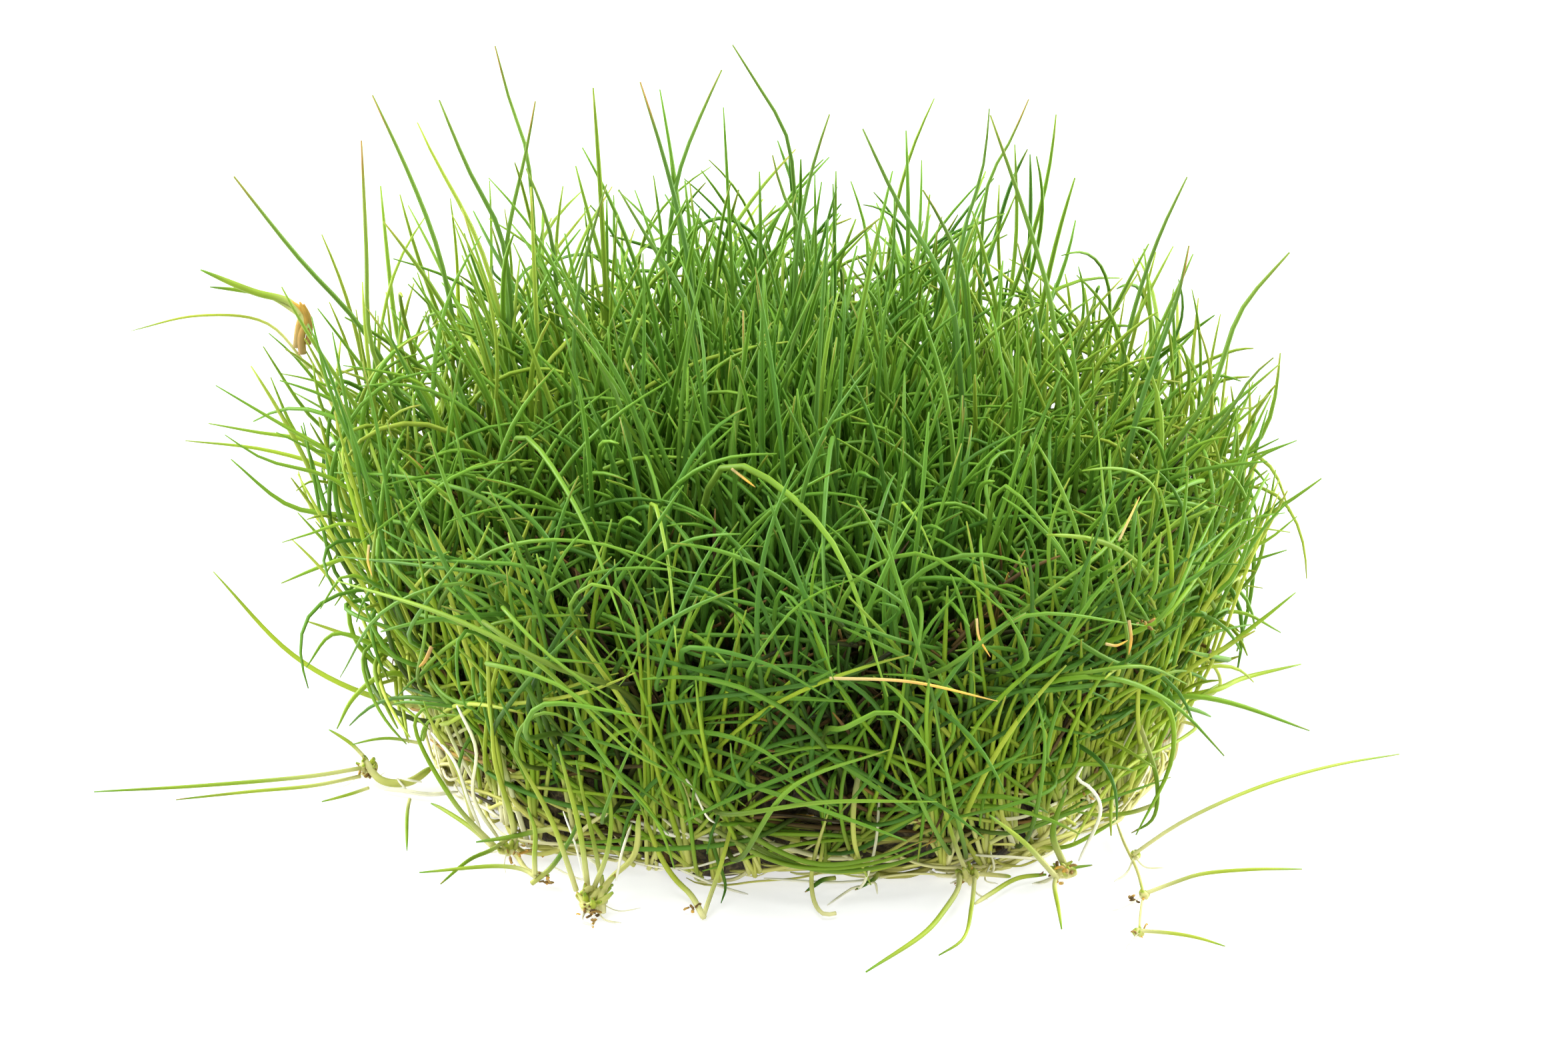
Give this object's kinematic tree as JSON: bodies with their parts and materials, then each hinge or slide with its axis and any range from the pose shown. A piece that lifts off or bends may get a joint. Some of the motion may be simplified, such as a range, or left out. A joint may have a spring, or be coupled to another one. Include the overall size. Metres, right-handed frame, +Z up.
{
  "type": "dwarf hairgrass",
  "caption": "Round turf of dwarf hairgrass: thin tapering leaves growing from a flat disc of matted roots, with short runners and daughter plantlets lying round its foot.",
  "frame": {"origin": "centre of the root mat's flat underside", "axes": "+Z up along the leaves, -Y towards the front of the picture, +X to the right"},
  "size_m": [0.1255, 0.1036, 0.0603],
  "materials": {
    "leaf_green": "smooth waxy green leaf, satin",
    "leaf_young": "smooth pale green young leaf and runner, satin",
    "matted_root": "matted straw-brown roots and stem bases, dull"
  },
  "bodies": {
    "root": {"root_mat": "matted_root", "tuft_01": "leaf_green", "tuft_02": "leaf_green", "tuft_03": "leaf_green", "tuft_04": "leaf_green", "tuft_05": "leaf_green", "tuft_06": "leaf_green", "tuft_07": "leaf_green", "tuft_08": "leaf_green", "tuft_09": "leaf_green", "tuft_10": "leaf_green", "tuft_11": "leaf_green", "tuft_12": "leaf_green", "tuft_13": "leaf_green", "tuft_14": "leaf_green", "tuft_15": "leaf_green", "tuft_16": "leaf_green", "tuft_17": "leaf_green", "tuft_18": "leaf_green", "tuft_19": "leaf_green", "tuft_20": "leaf_green", "tuft_21": "leaf_green", "tuft_22": "leaf_green", "tuft_23": "leaf_green", "tuft_24": "leaf_green", "tuft_25": "leaf_green", "tuft_26": "leaf_green", "tuft_27": "leaf_green", "tuft_28": "leaf_green", "tuft_29": "leaf_green", "tuft_30": "leaf_green", "skirt_01": "leaf_green", "skirt_02": "leaf_green", "skirt_03": "leaf_green", "skirt_04": "leaf_green", "skirt_05": "leaf_green", "skirt_06": "leaf_green", "skirt_07": "leaf_green", "skirt_08": "leaf_green", "skirt_09": "leaf_green", "skirt_10": "leaf_green", "skirt_11": "leaf_green", "skirt_12": "leaf_green", "plantlet_left": "leaf_young", "plantlet_front_left": "leaf_young", "plantlet_front": "leaf_young", "plantlet_front_right": "leaf_young", "plantlet_right": "leaf_young", "runner_right": "leaf_young", "plantlet_runner_middle": "leaf_young", "plantlet_runner_end": "leaf_young"}
  },
  "joints": []
}
